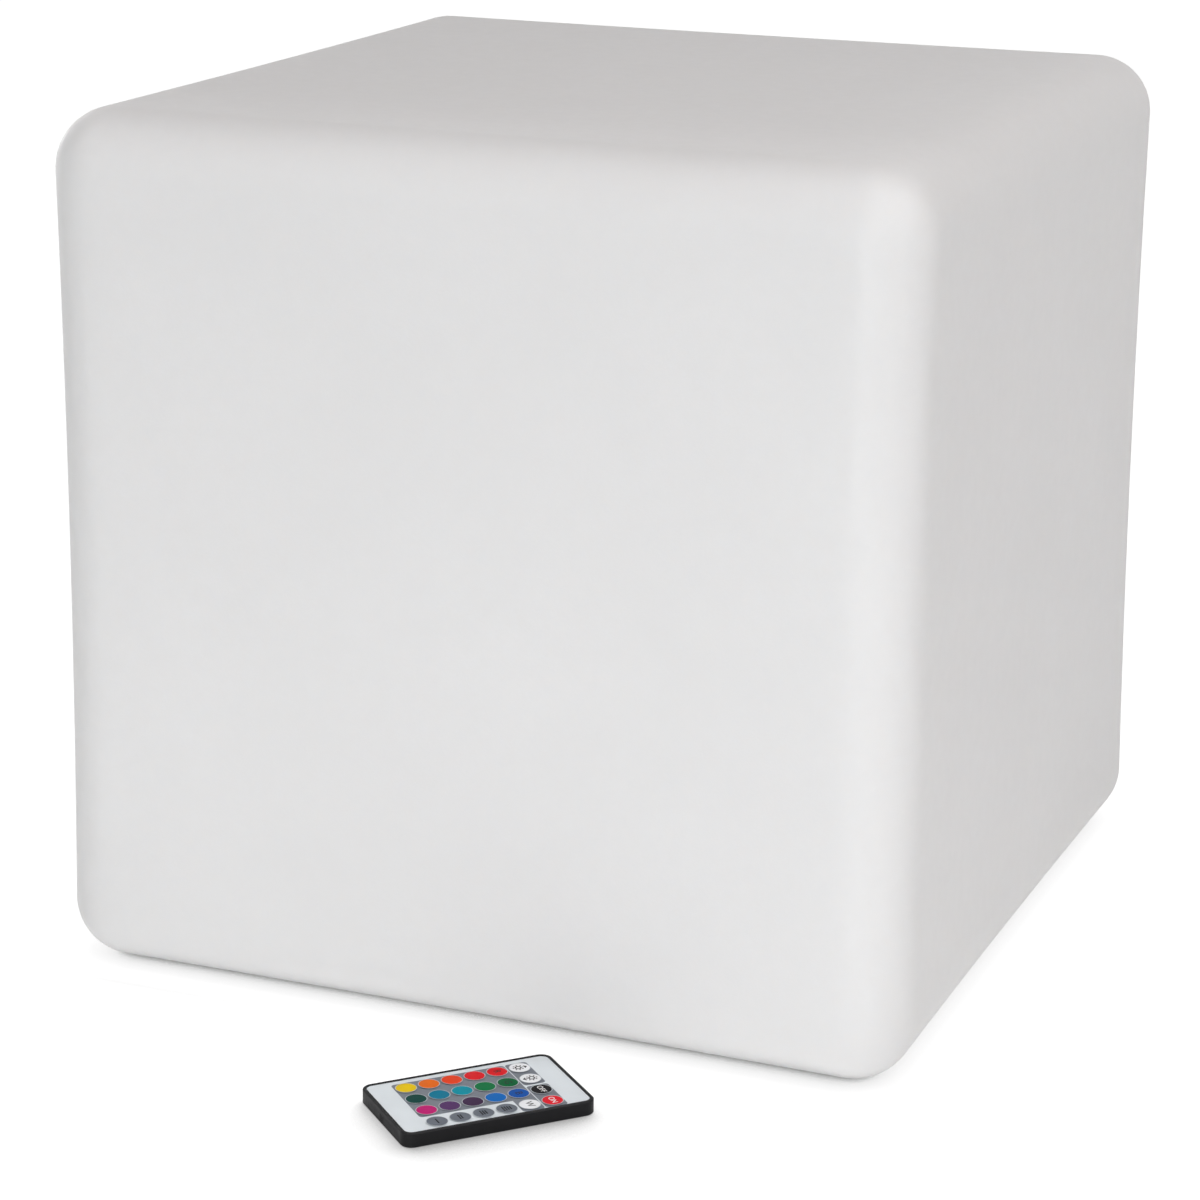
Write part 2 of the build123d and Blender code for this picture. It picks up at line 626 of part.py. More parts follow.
def make_emitter():
    """Return the infrared lamp, which looks out of the end away from the drawer."""
    base = REMOTE_LENGTH / 2 - EMITTER_BODY
    body = disc(EMITTER_RADIUS, EMITTER_BODY + EMITTER_PROUD)
    body = chamfer(round_edges(body, EMITTER_RADIUS, EMITTER_BODY + EMITTER_PROUD), EMITTER_PROUD)
    lamp = Pos(base, 0, EMITTER_Z) * Rot(0, 90, 0) * body
    for side in (-1, 1):
        leg = Box(
            EMITTER_LEG_LENGTH, EMITTER_LEG, EMITTER_LEG, align=(Align.MAX, Align.CENTER, Align.MAX)
        )
        lamp += Pos(base, side * EMITTER_RADIUS / 2, REMOTE_BOARD_Z) * leg
    return lamp


def make_drawer():
    """Return the coin cell's drawer: a grip flush with the end and a thin open tray."""
    high = DRAWER_TOP - DRAWER_Z
    grip = Pos(-REMOTE_LENGTH / 2, 0, DRAWER_Z) * Box(
        DRAWER_GRIP, DRAWER_GRIP_WIDTH, high, align=RIGHT
    )
    for step in range(GROOVES):
        y = (step - (GROOVES - 1) / 2) * GROOVE_PITCH
        cut = Box(2 * GROOVE, GROOVE, high, align=STAND)
        grip -= Pos(-REMOTE_LENGTH / 2, y, DRAWER_Z) * cut
    tray = Pos(GRIP_INSIDE, 0, DRAWER_Z) * Box(DRAWER_LENGTH, DRAWER_WIDTH, high, align=RIGHT)
    return grip + tray - Pos(COIN_X, 0, COIN_Z) * disc(COIN_RADIUS + COIN_PLAY, COIN_HEIGHT + high)


def make_coin():
    """Return the coin cell that lies in the drawer."""
    return Pos(COIN_X, 0, COIN_Z) * disc(COIN_RADIUS, COIN_HEIGHT)


def make_contacts():
    """Return the two leaves that touch the coin's inner edge."""
    tall = REMOTE_BOARD_Z - REMOTE_FLOOR
    leaf = Box(CONTACT, CONTACT_WIDTH, tall, align=RIGHT)
    x = COIN_X + COIN_RADIUS + STOP_GAP
    return group([Pos(x, side * CONTACT_SPREAD, REMOTE_FLOOR) for side in (-1, 1)], leaf)


# ------------------------------------------------------------------ pieces
def cube_pieces():
    """Return every piece of the cube by name."""
    return {
        "shell": make_shell(),
        "threaded_inserts": make_inserts(),
        "module_base": make_module_base(),
        "module_gasket": make_gasket(),
        "flange_screws": make_flange_screws(),
        "lamp_cover": make_cover(),
        "cover_seal": make_cover_seal(),
        "led_board": make_led_board(),
        "led_chips": make_leds(),
        "ir_receiver": make_receiver(),
        "control_board": make_control_board(),
        "control_parts": make_components(),
        "battery_pack": make_battery(),
        "battery_straps": make_straps(),
        "strap_screws": make_strap_screws(),
        "switch_body": make_switch(),
        "power_button": make_button(),
        "charge_socket": make_socket(),
        "port_stopper": make_stopper(),
        "pilot_lens": make_pilot(),
    }


def remote_pieces():
    """Return every piece of the remote by name, along +X about its own middle."""
    pieces = {
        "remote_case": make_case(),
        "remote_face": make_face(),
        "snap_domes": make_domes(),
        "remote_board": make_remote_board(),
        "remote_chip": make_remote_chip(),
        "ir_emitter": make_emitter(),
        "cell_drawer": make_drawer(),
        "coin_cell": make_coin(),
        "cell_contacts": make_contacts(),
    }
    for name, place in key_spots(KEY_Z):
        pieces["key_" + name] = place * make_key()
    return pieces


os.makedirs("parts", exist_ok=True)
for name, piece in cube_pieces().items():
    export_step(piece, f"parts/{name}.step")
for name, piece in remote_pieces().items():
    placed = Pos(REMOTE_X, REMOTE_Y, 0) * Rot(0, 0, REMOTE_TURN) * piece
    export_step(placed, f"parts/{name}.step")
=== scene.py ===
"""Looks of a moulded garden cube and the thin remote control that lies in front of it.

The CAD frame gives every size and place. Lengths here are metres in the row frame: +Z up,
the origin on the floor under the middle of the cube, the cube's wide face along -Y.
"""

import math

import bmesh
import bpy
from bpy.props import FloatProperty, FloatVectorProperty, IntProperty, PointerProperty
from bpy.types import Operator, Panel, PropertyGroup
from mathutils import Matrix, Vector


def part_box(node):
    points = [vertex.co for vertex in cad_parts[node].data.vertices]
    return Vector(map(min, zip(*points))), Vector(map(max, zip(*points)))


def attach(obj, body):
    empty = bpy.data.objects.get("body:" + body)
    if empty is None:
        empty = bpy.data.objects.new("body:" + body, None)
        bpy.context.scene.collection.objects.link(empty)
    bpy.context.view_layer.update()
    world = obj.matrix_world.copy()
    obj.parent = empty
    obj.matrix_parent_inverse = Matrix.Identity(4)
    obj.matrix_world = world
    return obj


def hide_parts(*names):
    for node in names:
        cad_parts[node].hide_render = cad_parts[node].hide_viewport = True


bl_info = {
    "name": "Garden Light Cube",
    "version": (1, 0, 0),
    "blender": (4, 5, 0),
    "location": "View3D > Sidebar > Light Cube",
    "description": "Builds the looks of a moulded light cube and its remote control",
    "category": "Object",
}

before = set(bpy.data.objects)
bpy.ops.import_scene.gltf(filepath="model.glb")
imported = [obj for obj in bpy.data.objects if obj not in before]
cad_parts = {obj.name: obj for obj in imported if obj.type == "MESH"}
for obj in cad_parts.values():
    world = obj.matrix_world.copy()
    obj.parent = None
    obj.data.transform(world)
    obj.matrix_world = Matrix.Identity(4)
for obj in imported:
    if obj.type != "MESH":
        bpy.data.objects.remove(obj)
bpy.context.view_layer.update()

SKIN_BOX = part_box("shell")
HALF = SKIN_BOX[1].x
HEIGHT = SKIN_BOX[1].z

# Keys in columns, from the drawer's end to the lamp's end, each from back to front.
KEY_COLUMNS = (
    ("yellow", "deep_teal", "magenta", "effect_one"),
    ("amber", "teal", "purple", "effect_two"),
    ("orange", "cyan", "plum", "effect_three"),
    ("scarlet", "emerald", "azure", "effect_four"),
    ("red", "green", "blue", "white"),
    ("brighter", "dimmer", "off", "on"),
)
PALE_FILM = (0.76, 0.78, 0.80)
EFFECT_FILM = (0.13, 0.148, 0.175)
KEY_FILMS = {
    "yellow": (0.70, 0.49, 0.004),
    "amber": (0.69, 0.13, 0.008),
    "orange": (0.69, 0.05, 0.012),
    "scarlet": (0.64, 0.012, 0.018),
    "red": (0.62, 0.011, 0.016),
    "brighter": PALE_FILM,
    "deep_teal": (0.003, 0.05, 0.042),
    "teal": (0.003, 0.165, 0.27),
    "cyan": (0.003, 0.25, 0.33),
    "emerald": (0.002, 0.15, 0.045),
    "green": (0.002, 0.11, 0.034),
    "dimmer": PALE_FILM,
    "magenta": (0.46, 0.012, 0.15),
    "purple": (0.08, 0.032, 0.115),
    "plum": (0.046, 0.022, 0.06),
    "azure": (0.003, 0.12, 0.43),
    "blue": (0.006, 0.075, 0.34),
    "off": (0.008, 0.008, 0.010),
    "effect_one": EFFECT_FILM,
    "effect_two": EFFECT_FILM,
    "effect_three": EFFECT_FILM,
    "effect_four": EFFECT_FILM,
    "white": PALE_FILM,
    "on": (0.63, 0.012, 0.024),
}
KEY_LETTERS = {"red": "R", "green": "G", "blue": "B", "white": "W", "off": "OFF", "on": "ON"}

# Print of the pale keys: the sun's ring, its rays, and the arrowhead away from it.
SUN_SHIFT = 0.0006
SUN_RING = (0.0009, 0.00145)
RAY_COUNT, RAY_REACH, RAY_SIZE = 8, 0.0021, (0.0007, 0.0005)
ARROW_BASE, ARROW_TIP, ARROW_HALF = 0.0027, 0.004, 0.0013
# Print of the effect keys: bars of one height, each shorter than the one before it.
BAR_PITCH, BAR_LENGTH, BAR_STEP, BAR_HEIGHT = 0.00105, 0.0042, 0.0004, 0.0006
# Height of one letter alone and of a letter in a word, as shares of the mark's height.
LETTER_SHARE, WORD_SHARE = 1.5, 1.2

# Screws of the lamp module: radius and height above the flange, from the head's top to the tip.
SCREW_REACH = 0.058
SCREW_PROFILE = (
    (0.0018, -0.0022),
    (0.0028, -0.0019),
    (0.0035, -0.0014),
    (0.0038, -0.0008),
    (0.0038, 0.0),
    (0.0019, 0.0),
    (0.0019, 0.0115),
)
SLOT_LENGTH, SLOT_WIDTH, SLOT_TURN = 0.0034, 0.00064, 0.35
SLOT_TOP, SLOT_ROOT = -0.00222, -0.0017

WHITE, COOL = (1.0, 1.0, 1.0), (0.97, 0.985, 1.0)
WARM, WARMER = (1.0, 0.955, 0.95), (1.0, 0.925, 0.915)
SKY_TINT = (1.0, 0.99, 0.985)
LOW_TARGET, MID_TARGET = (0.0, 0.0, 0.05), (0.0, 0.0, 0.19)
# Each lamp's name, place, target, size, power setting, colour and beam in degrees.
LAMPS = (
    ("front_lamp", (0.3, -2.3, 0.18), LOW_TARGET, 0.34, "front_power", COOL, 180.0),
    ("edge_lamp", (1.55, -0.3, 1.95), MID_TARGET, 1.0, "edge_power", WARM, 180.0),
    ("top_lamp", (0.2, -0.9, 2.2), MID_TARGET, 1.4, "top_power", WARMER, 180.0),
    ("back_lamp", (-2.0, 1.1, 0.6), MID_TARGET, 1.2, "back_power", WHITE, 180.0),
    ("front_floor_lamp", (0.05, -0.78, 1.2), (0.05, -0.78, 0.0), 1.0, "floor_power", WHITE, 30.0),
    ("right_floor_lamp", (0.8, -0.1, 1.2), (0.8, -0.1, 0.0), 1.0, "floor_power", WHITE, 30.0),
)
FLOOR_HALF = 9.0
FLOOR_COLOUR = (0.93, 0.93, 0.93, 1.0)
# Strength of the glow that the camera sees on the floor, and its share beside the floor's light.
FLOOR_GLOW, GLOW_SHARE = 1.2, 0.85
# Curve of the close shade, and curve, reach and way of the shade that leans to the viewer.
CLOSE_CURVE, LEANING_CURVE, LEANING_REACH = 0.15, 1.4, 1.3
LEANING_WAY = (-0.365, 0.9, 0.243)
# The close shade gives way to the leaning one between these distances in front of the cube.
SHADE_CHANGE = (0.005, 0.011)

CAMERA_SPOT = (0.5878, -1.485, 0.617)
CAMERA_YAW, CAMERA_PITCH, CAMERA_ROLL = -22.11, 14.15, 0.5
CAMERA_SHIFT = -0.125


# ------------------------------------------------------------ settings
class SkinSettings(PropertyGroup):
    """Form of the moulded skin."""

    edge_radius: FloatProperty(
        name="Edge radius", description="Rounding of every outer edge", default=0.028, unit="LENGTH"
    )
    face_sink: FloatProperty(
        name="Face sink",
        description="How far the middle of a side face is drawn in beyond its edges",
        default=0.0024,
        unit="LENGTH",
    )
    edge_sink: FloatProperty(
        name="Edge sink",
        description="How far an upright edge is drawn in at half height",
        default=0.0015,
        unit="LENGTH",
    )
    top_sink: FloatProperty(
        name="Top sink",
        description="How far the middle of the top is drawn down",
        default=0.002,
        unit="LENGTH",
    )
    wall: FloatProperty(
        name="Wall", description="Thickness of the skin", default=0.003, unit="LENGTH"
    )
    flat_steps: IntProperty(
        name="Flat steps", description="Mesh divisions across the flat of a face", default=36
    )
    edge_steps: IntProperty(
        name="Edge steps", description="Mesh divisions round half of an edge", default=8
    )
    colour: FloatVectorProperty(
        name="Skin colour",
        description="Colour of the unlit moulded skin",
        default=(0.82, 0.82, 0.815),
        subtype="COLOR",
    )


class WellSettings(PropertyGroup):
    """Form of the well in the underside and the finish of what shows in it."""

    mouth: FloatProperty(
        name="Mouth",
        description="Half width of the well at its mouth",
        default=0.095,
        unit="LENGTH",
    )
    ceiling: FloatProperty(
        name="Ceiling",
        description="Half width of the well at its ceiling",
        default=0.0902,
        unit="LENGTH",
    )
    depth: FloatProperty(
        name="Depth", description="Height of the ceiling", default=0.034, unit="LENGTH"
    )
    lip: FloatProperty(
        name="Lip", description="Rounding of the mouth", default=0.005, unit="LENGTH"
    )
    corner: FloatProperty(
        name="Corner", description="Rounding of the well's corners", default=0.056, unit="LENGTH"
    )
    hole: FloatProperty(
        name="Hole",
        description="Half width of the hole in the ceiling for the lamp module",
        default=0.045,
        unit="LENGTH",
    )
    hole_corner: FloatProperty(
        name="Hole corner", description="Rounding of that hole", default=0.018, unit="LENGTH"
    )
    module_colour: FloatVectorProperty(
        name="Module colour",
        description="Colour of the lamp module's plastic",
        default=(0.62, 0.62, 0.61),
        subtype="COLOR",
    )
    button_colour: FloatVectorProperty(
        name="Button colour",
        description="Colour of the push button",
        default=(0.16, 0.165, 0.175),
        subtype="COLOR",
    )


class RemoteSettings(PropertyGroup):
    """Finish and print of the remote control."""

    key_radius: FloatProperty(
        name="Key radius", description="Radius of a key's stem", default=0.0039, unit="LENGTH"
    )
    key_head: FloatProperty(
        name="Key head", description="Radius of a key's printed head", default=0.0046, unit="LENGTH"
    )
    # the pale ring round a key is a painted highlight of its raised edge
    key_ring: FloatProperty(
        name="Key ring",
        description="Width of the pale ring round a key",
        default=0.0003,
        unit="LENGTH",
    )
    key_crown: FloatProperty(
        name="Key crown", description="Height of a key's crown", default=0.00006, unit="LENGTH"
    )
    mark_height: FloatProperty(
        name="Mark height", description="Height of a letter on a key", default=0.003, unit="LENGTH"
    )
    mark_thickness: FloatProperty(
        name="Mark thickness",
        description="Thickness of the printed marks",
        default=0.00004,
        unit="LENGTH",
    )
    case_colour: FloatVectorProperty(
        name="Case colour",
        description="Colour of the remote's case",
        default=(0.006, 0.006, 0.007),
        subtype="COLOR",
    )
    film_colour: FloatVectorProperty(
        name="Film colour",
        description="Colour of the face between the panels",
        default=(0.64, 0.69, 0.72),
        subtype="COLOR",
    )
    panel_colour: FloatVectorProperty(
        name="Panel colour",
        description="Colour of the grey panels printed round the keys",
        default=(0.155, 0.175, 0.205),
        subtype="COLOR",
    )


class StageSettings(PropertyGroup):
    """Lamps, floor and camera."""

    front_power: FloatProperty(
        name="Front lamp power",
        description="Power of the low lamp in front",
        default=15.8,
        unit="POWER",
    )
    floor_power: FloatProperty(
        name="Floor lamp power",
        description="Power of the narrow lamps over the floor in front and to the right",
        default=1.7,
        unit="POWER",
    )
    edge_power: FloatProperty(
        name="Edge lamp power",
        description="Power of the lamp high to the right, which lights the edges",
        default=15.8,
        unit="POWER",
    )
    top_power: FloatProperty(
        name="Top lamp power",
        description="Power of the lamp high in front, which lights the top",
        default=9.2,
        unit="POWER",
    )
    back_power: FloatProperty(
        name="Back lamp power",
        description="Power of the low lamp behind, which lights the sides away from the viewer",
        default=10.0,
        unit="POWER",
    )
    horizon: FloatProperty(
        name="Horizon", description="Strength of the even light from low down", default=0.36
    )
    zenith: FloatProperty(
        name="Zenith", description="Strength of the even light from overhead", default=0.12
    )
    shadow_reach: FloatProperty(
        name="Shadow reach",
        description="How far the close shadow on the floor spreads",
        default=0.017,
        unit="LENGTH",
    )
    lens: FloatProperty(
        name="Lens", description="Focal length of the camera in millimetres", default=105.1
    )


# ------------------------------------------------------------ mesh helpers
def make_mesh(name, points, faces, finishes, indices=None, smooth=True):
    """Return a new object made of points and faces, with one finish index for each face."""
    mesh = bpy.data.meshes.new(name)
    mesh.from_pydata([tuple(point) for point in points], [], faces)
    mesh.validate()
    for finish in finishes:
        mesh.materials.append(finish)
    for number, polygon in enumerate(mesh.polygons):
        polygon.use_smooth = smooth
        if indices:
            polygon.material_index = indices[number]
    mesh.update()
    piece = bpy.data.objects.new(name, mesh)
    bpy.context.scene.collection.objects.link(piece)
    return piece


def settle(piece, body, slot, *nodes):
    """Let a piece ride on a body and let it stand for CAD nodes; its slot is not used."""
    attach(piece, body)
    if nodes:
        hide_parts(*nodes)
    return piece


def add_form(points, faces, form):
    """Add a form's points and faces to the lists and return its count of faces."""
    start = len(points)
    points += form[0]
    faces += [tuple(start + corner for corner in ring) for ring in form[1]]
    return len(form[1])


def prism(outline, low, high, place):
    """Return the points and faces of an outline drawn out between two heights."""
    count = len(outline)
    points = [place @ Vector((x, y, height)) for height in (low, high) for x, y in outline]
    faces = [tuple(reversed(range(count))), tuple(range(count, 2 * count))]
    for corner in range(count):
        after = (corner + 1) % count
        faces.append((corner, after, count + after, count + corner))
    return points, faces


def bar(x, y, width, height, turn=0.0):
    """Return the outline of a small bar round a middle."""
    outline = []
    for u, v in ((-1, -1), (1, -1), (1, 1), (-1, 1)):
        a, b = u * width / 2, v * height / 2
        across = x + a * math.cos(turn) - b * math.sin(turn)
        outline.append((across, y + a * math.sin(turn) + b * math.cos(turn)))
    return outline


def spin(profile, steps, place):
    """Return the points and faces of a (radius, height) profile turned about an axis."""
    points = []
    for radius, height in profile:
        for step in range(steps):
            angle = 2 * math.pi * step / steps
            spot = Vector((radius * math.cos(angle), radius * math.sin(angle), height))
            points.append(place @ spot)
    faces = []
    for row in range(len(profile) - 1):
        low, high = row * steps, (row + 1) * steps
        for step in range(steps):
            after = (step + 1) % steps
            faces.append((low + step, low + after, high + after, high + step))
    faces.append(tuple(reversed(range(steps))))
    start = (len(profile) - 1) * steps
    faces.append(tuple(range(start, start + steps)))
    return points, faces


def quarter_turned(x, y, height, turn):
    """Return a point turned by quarter turns about the upright axis."""
    angle = math.pi / 2 * turn
    across = x * math.cos(angle) - y * math.sin(angle)
    return Vector((across, x * math.sin(angle) + y * math.cos(angle), height))


def square_loop(half, corner, height, steps):
    """Return a loop of a rounded square, each side with the same count of steps."""
    bend = steps // 5
    straight = steps - 2 * bend
    flat = half - corner
    side = []
    for step in range(bend):
        angle = math.pi / 4 * (1 - step / bend)
        side.append((half - corner * (1 - math.cos(angle)), -flat - corner * math.sin(angle)))
    for step in range(straight + 1):
        side.append((half, -flat + 2 * flat * step / straight))
    for step in range(1, bend):
        angle = math.pi / 4 * step / bend
        side.append((half - corner * (1 - math.cos(angle)), flat + corner * math.sin(angle)))
    return [quarter_turned(x, y, height, turn) for turn in range(4) for x, y in side]


# ------------------------------------------------------------ finishes
def fill(tree, node, inputs):
    """Set a node's inputs to numbers and colours, or link them to sockets."""
    for name, value in inputs.items():
        if isinstance(value, bpy.types.NodeSocket):
            tree.links.new(value, node.inputs[name])
        else:
            node.inputs[name].default_value = value


def added(tree, kind, inputs, **choices):
    """Return a new node with its choices made and its inputs set or linked."""
    node = tree.nodes.new("ShaderNode" + kind)
    for name, value in choices.items():
        setattr(node, name, value)
    fill(tree, node, inputs)
    return node


def cleared_tree(owner):
    """Return the empty node tree of a material or a world."""
    owner.use_nodes = True
    owner.node_tree.nodes.clear()
    return owner.node_tree


def new_finish(name):
    """Return a new material with its nodes and its surface shader."""
    finish = bpy.data.materials.new(name)
    tree = cleared_tree(finish)
    shader = added(tree, "BsdfPrincipled", {})
    added(tree, "OutputMaterial", {"Surface": shader.outputs["BSDF"]})
    return finish, tree, shader


def object_space(tree):
    """Return the socket of object coordinates, which are row coordinates in metres."""
    return tree.nodes.new("ShaderNodeTexCoord").outputs["Object"]


def noise(tree, place, scale, detail=2.0):
    """Return the factor socket of a noise of scale cells for each metre."""
    inputs = {"Vector": place, "Scale": scale, "Detail": detail, "Roughness": 0.5}
    return added(tree, "TexNoise", inputs).outputs["Fac"]


def ranged(tree, value, from_range, to_range):
    """Return a socket's value carried from one range to another."""
    names = ("From Min", "From Max", "To Min", "To Max")
    inputs = dict(zip(names, (*from_range, *to_range)), Value=value)
    return added(tree, "MapRange", inputs).outputs["Result"]


def spread(tree, value, low, high):
    """Return a noise's middle range stretched between two values."""
    return ranged(tree, value, (0.3, 0.7), (low, high))


def worked(tree, operation, first, second, clamp=False):
    """Return a math operation on a socket and a second socket or a number."""
    inputs = {0: first, 1: second}
    return added(tree, "Math", inputs, operation=operation, use_clamp=clamp).outputs["Value"]


def blended(tree, factor, first, second):
    """Return a colour between first and second, either of which may be a socket."""
    node = added(tree, "Mix", {"Factor": factor}, data_type="RGBA")
    # the mix node also has number and vector sockets of the same names
    colours = [number for number, socket in enumerate(node.inputs) if socket.type == "RGBA"]
    fill(tree, node, dict(zip(colours, (first, second))))
    return [socket for socket in node.outputs if socket.type == "RGBA"][0]


def shaded(colour, share):
    """Return a colour made darker or lighter by a share, ready for a colour socket."""
    return (*(min(1.0, part * share) for part in colour), 1.0)


def clouded(tree, cloud, colour, low, high):
    """Return a colour that a noise makes darker and lighter between two shares."""
    tint = spread(tree, cloud, 0.0, 1.0)
    return blended(tree, tint, shaded(colour, low), shaded(colour, high))


def bump(tree, shader, height, distance, below=None):
    """Raise the surface by a height socket over a distance in metres."""
    inputs = {"Distance": distance, "Height": height}
    if below:
        inputs["Normal"] = below
    normal = added(tree, "Bump", inputs).outputs["Normal"]
    fill(tree, shader, {"Normal": normal})
    return normal


def seen_mix(tree, share, lighting, seen):
    """Return a shader for light mixed, by a share, with the one that the camera sees."""
    both = added(tree, "MixShader", {"Fac": share, 1: lighting, 2: seen})
    return both.outputs["Shader"]


def plain_finish(name, colour, rough, grain, depth, vary=0.06, gloss=0.5):
    """Return a finish with grain, slight unevenness of colour and uneven gloss."""
    finish, tree, shader = new_finish(name)
    place = object_space(tree)
    cloud = noise(tree, place, grain / 14, 3.0)
    fine = noise(tree, place, grain)
    inputs = {
        "Base Color": clouded(tree, cloud, colour, 1 - vary, 1 + vary),
        "Roughness": spread(tree, cloud, rough * 0.9, min(1.0, rough * 1.12)),
        "Specular IOR Level": gloss,
    }
    fill(tree, shader, inputs)
    bump(tree, shader, fine, depth)
    finish.diffuse_color = (*colour, 1.0)
    return finish


def brushed_finish(name, colour, rough):
    """Return a metal finish with fine scratches along one way."""
    finish, tree, shader = new_finish(name)
    place = object_space(tree)
    stretch = added(tree, "Mapping", {"Vector": place, "Scale": (1.0, 14.0, 3.0)})
    scratch = noise(tree, stretch.outputs["Vector"], 1400.0, 3.0)
    cloud = noise(tree, place, 240.0)
    inputs = {
        "Base Color": clouded(tree, cloud, colour, 0.88, 1.08),
        "Roughness": spread(tree, scratch, rough * 0.8, rough * 1.25),
        "Metallic": 1.0,
    }
    fill(tree, shader, inputs)
    bump(tree, shader, scratch, 0.00001)
    finish.diffuse_color = (*colour, 1.0)
    return finish


def skin_finish(settings):
    """Return the milky moulded plastic: satin, faintly uneven, with light under its surface."""
    finish, tree, shader = new_finish("moulded_skin")
    place = object_space(tree)
    colour = tuple(settings.colour)
    cloud = noise(tree, place, 9.0, 3.0)
    mottle = noise(tree, place, 160.0, 3.0)
    peel = noise(tree, place, 700.0)
    wave = noise(tree, place, 16.0, 1.0)
    base = clouded(tree, cloud, colour, 0.985, 1.01)
    base = blended(tree, spread(tree, mottle, 0.0, 0.25), base, shaded(colour, 0.965))
    inputs = {
        "Base Color": base,
        "Roughness": spread(tree, mottle, 0.42, 0.5),
        "Subsurface Weight": 0.45,
        "Subsurface Radius": (1.0, 0.92, 0.85),
        "Subsurface Scale": 0.008,
        "Specular IOR Level": 0.32,
    }
    fill(tree, shader, inputs)
    waves = bump(tree, shader, wave, 0.0006)
    bump(tree, shader, peel, 0.00004, below=waves)
    finish.diffuse_color = (*colour, 1.0)
    return finish


def rounded_mask(tree, place, centre, half, corner):
    """Return 1 inside a rounded rectangle on the remote's face and 0 outside it."""
    everywhere = 9.0
    blur = 0.00005
    steps = (
        ("SUBTRACT", (*centre, 0.0)),
        ("ABSOLUTE", None),
        ("SUBTRACT", (half[0] - corner, half[1] - corner, everywhere)),
        ("MAXIMUM", (0.0, 0.0, 0.0)),
    )
    flow = place
    for operation, value in steps:
        inputs = {0: flow, 1: value} if value else {0: flow}
        flow = added(tree, "VectorMath", inputs, operation=operation).outputs["Vector"]
    length = added(tree, "VectorMath", {0: flow}, operation="LENGTH").outputs["Value"]
    return ranged(tree, length, (corner + blur, corner - blur), (0.0, 1.0))


# ------------------------------------------------------------ remote's own places
def key_spot(name):
    """Return the middle of a key's top in the row frame."""
    low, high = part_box("key_" + name)
    return Vector(((low.x + high.x) / 2, (low.y + high.y) / 2, high.z))


def remote_axes():
    """Return the middle of the keys' grid, the way to the lamp's end, and the way to the back."""
    corners = [key_spot(KEY_COLUMNS[c][r]) for c, r in ((0, 0), (-1, 0), (0, -1), (-1, -1))]
    middle = sum(corners, Vector()) / 4
    return middle, corners[1] - corners[0], corners[0] - corners[2]


def remote_turn():
    """Return the remote's turn about the upright axis."""
    along = remote_axes()[1]
    return math.atan2(along.y, along.x)


def film_finish(settings):
    """Return the printed face: pale film with grey panels round the groups of keys."""
    finish, tree, shader = new_finish("face_film")
    place = object_space(tree)
    middle, along, across = remote_axes()
    inputs = {"Vector": place, "Location": middle, "Rotation": (0.0, 0.0, remote_turn())}
    flow = added(tree, "Mapping", inputs, vector_type="TEXTURE").outputs["Vector"]
    pitch_x = along.length / 5
    pitch_y = across.length / 3
    # how far a panel reaches past the middles of its outer keys, and its corners' rounding
    edge_x, edge_y, corner = 0.0049, 0.0053, 0.0016

    def panel(first, last, back, front):
        low_x, high_x = (first - 2.5) * pitch_x - edge_x, (last - 2.5) * pitch_x + edge_x
        low_y, high_y = (1.5 - front) * pitch_y - edge_y, (1.5 - back) * pitch_y + edge_y
        centre = ((low_x + high_x) / 2, (low_y + high_y) / 2)
        half = ((high_x - low_x) / 2, (high_y - low_y) / 2)
        return rounded_mask(tree, flow, centre, half, corner)

    mask = panel(0, 4, 0, 2)
    for columns_and_rows in ((4, 4, 0, 3), (5, 5, 0, 1), (5, 5, 2, 3)):
        mask = worked(tree, "MAXIMUM", mask, panel(*columns_and_rows), clamp=True)
    cloud = noise(tree, place, 55.0)
    film = tuple(settings.film_colour)
    pale = clouded(tree, cloud, film, 0.96, 1.04)
    dark = clouded(tree, cloud, tuple(settings.panel_colour), 0.93, 1.06)
    fine = noise(tree, place, 5200.0, 1.0)
    inputs = {
        "Base Color": blended(tree, mask, pale, dark),
        "Roughness": spread(tree, cloud, 0.38, 0.46),
        "Specular IOR Level": 0.25,
    }
    fill(tree, shader, inputs)
    bump(tree, shader, fine, 0.000004)
    finish.diffuse_color = (*film, 1.0)
    return finish


# ------------------------------------------------------------ moulded skin
def sunk(point, settings):
    """Return a point of the flat-faced form drawn in as the cooled moulding is."""
    fx = point.x / HALF
    fy = point.y / HALF
    fz = (point.z - HEIGHT / 2) / (HEIGHT / 2)
    belly = max(0.0, 1 - fz * fz)
    face_in = settings.face_sink * (0.5 + 0.5 * belly)
    edge_in = settings.edge_sink * belly
    in_x = face_in * max(0.0, 1 - fy * fy) + edge_in
    in_y = face_in * max(0.0, 1 - fx * fx) + edge_in
    down = settings.top_sink * max(0.0, fz) ** 3
    down *= max(0.0, 1 - fx * fx) * max(0.0, 1 - fy * fy)
    return Vector((point.x - fx * in_x, point.y - fy * in_y, point.z - down))


def grid_lines(flat, settings):
    """Return the places of the mesh lines across a face, as tangents past its flat."""
    steps = settings.flat_steps
    bend = settings.edge_steps
    radius = settings.edge_radius
    rim = [flat + radius * math.tan(math.pi / 4 * step / bend) for step in range(1, bend + 1)]
    middle = [flat * (2 * step / steps - 1) for step in range(steps + 1)]
    return [-value for value in reversed(rim)] + middle + rim


def rounded_point(point, flats, radius):
    """Return a point of the sharp box moved on to the box with rounded edges."""
    inner = Vector(max(-flat, min(flat, value)) for value, flat in zip(point, flats))
    return inner + (point - inner).normalized() * radius


